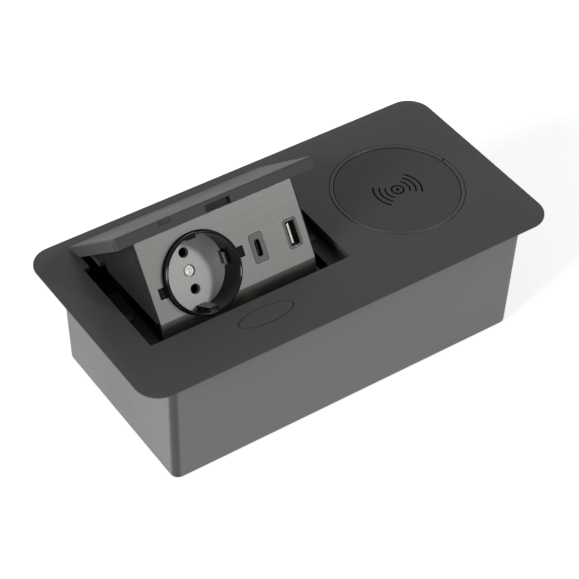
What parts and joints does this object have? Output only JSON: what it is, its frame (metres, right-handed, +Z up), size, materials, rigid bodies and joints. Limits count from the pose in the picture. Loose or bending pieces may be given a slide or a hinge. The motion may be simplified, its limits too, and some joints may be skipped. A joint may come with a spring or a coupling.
{
  "type": "in-desk power module",
  "caption": "In-desk power module: a drafted tub under a rounded plate, a tilting sprung cassette with an earthed socket and two charging ports, a release button and a round charging pad.",
  "frame": {"origin": "centre of the plate in plan, at the flat bottom of the tub", "axes": "+X runs to the charging pad, +Y to the hinge at the back, +Z up out of the desk"},
  "size_m": [0.24, 0.119, 0.1123],
  "materials": {
    "plate": "satin charcoal moulding",
    "tub": "fine-grained grey moulding",
    "lid": "satin charcoal moulding",
    "panel": "brushed along its length, dark anodised",
    "black_moulding": "black moulding",
    "black_gloss": "polished black moulding",
    "socket_floor": "light grey moulding",
    "steel": "zinc-plated steel",
    "nickel": "nickel-plated sheet",
    "contact": "plain brass",
    "disc": "soft matt charging surface",
    "ring": "semi-gloss trim",
    "copper": "enamelled copper winding",
    "ferrite": "sintered ferrite",
    "board": "green solder mask",
    "tongue": "white contact carrier",
    "rubber": "soft black rubber",
    "gear": "natural acetal",
    "electrics": "moulded and wound electrical parts",
    "terminal": "ivory terminal moulding"
  },
  "bodies": {
    "base": {"top_plate": "plate", "housing_box": "tub", "housing_screws": "steel", "well_frame": "black_moulding", "frame_screws": "steel", "lid_bumper_left": "rubber", "lid_bumper_right": "rubber", "hinge_pin_left": "steel", "hinge_pin_right": "steel", "torsion_spring_left": "steel", "torsion_spring_right": "steel", "damper_body": "black_moulding", "latch_guide": "black_moulding", "guide_screws": "steel", "button_spring_left": "steel", "button_spring_right": "steel", "latch_spring": "steel", "charger_ring": "ring", "charger_disc": "disc", "charging_coil": "copper", "ferrite_sheet": "ferrite", "charger_cup": "black_moulding", "charger_board": "board", "charger_screws": "steel", "supply_board": "board", "supply_screws": "steel", "transformer": "electrics", "filter_capacitors": "electrics", "terminal_block": "terminal", "cable_grommet": "rubber", "cord_clamp": "black_moulding", "clamp_screws": "steel"},
    "cassette": {"lid": "lid", "cassette_screws": "steel", "cassette_shell": "black_moulding", "face_panel": "panel", "socket_insert": "black_gloss", "socket_base": "socket_floor", "live_contact": "contact", "neutral_contact": "contact", "earth_clip": "nickel", "socket_back_cover": "black_moulding", "centre_screw": "nickel", "usb_c_bezel": "black_moulding", "usb_c_port": "nickel", "usb_a_bezel": "black_moulding", "usb_a_port": "nickel", "usb_a_tongue": "tongue", "usb_board": "board", "usb_board_screws": "steel", "gear_sector": "gear", "sector_screws": "steel"},
    "pinion": {"damper_pinion": "gear"},
    "button": {"release_button": "plate"},
    "latch": {"latch_slide": "gear"}
  },
  "joints": [
    {"name": "cassette_hinge", "type": "hinge", "parent": "base", "child": "cassette", "pos_m": [0, 0.0463, 0.0483], "axis": [1, 0, 0], "range_deg": [0, 40.8], "stiffness_Nm_per_rad": 0.16, "springref_deg": -60.16, "deforming": ["torsion_spring_left", "torsion_spring_right"]},
    {"name": "damper_turn", "type": "hinge", "parent": "base", "child": "pinion", "pos_m": [0.0031, 0.02638, 0.0598], "axis": [1, 0, 0], "range_deg": [0, 275.4]},
    {"name": "button_press", "type": "slide", "parent": "base", "child": "button", "axis": [0, 0, -1], "range_m": [0, 0.0016], "stiffness_N_per_m": 700, "springref_m": -0.002, "deforming": ["button_spring_left", "button_spring_right"]},
    {"name": "latch_draw", "type": "slide", "parent": "base", "child": "latch", "axis": [0, -1, 0], "range_m": [0, 0.0016], "stiffness_N_per_m": 300, "springref_m": -0.001, "deforming": ["latch_spring"]}
  ],
  "couplings": [
    {"joint": "damper_turn", "follows": "cassette_hinge", "ratio": 6.75},
    {"joint": "latch_draw", "follows": "button_press", "ratio": 1}
  ]
}
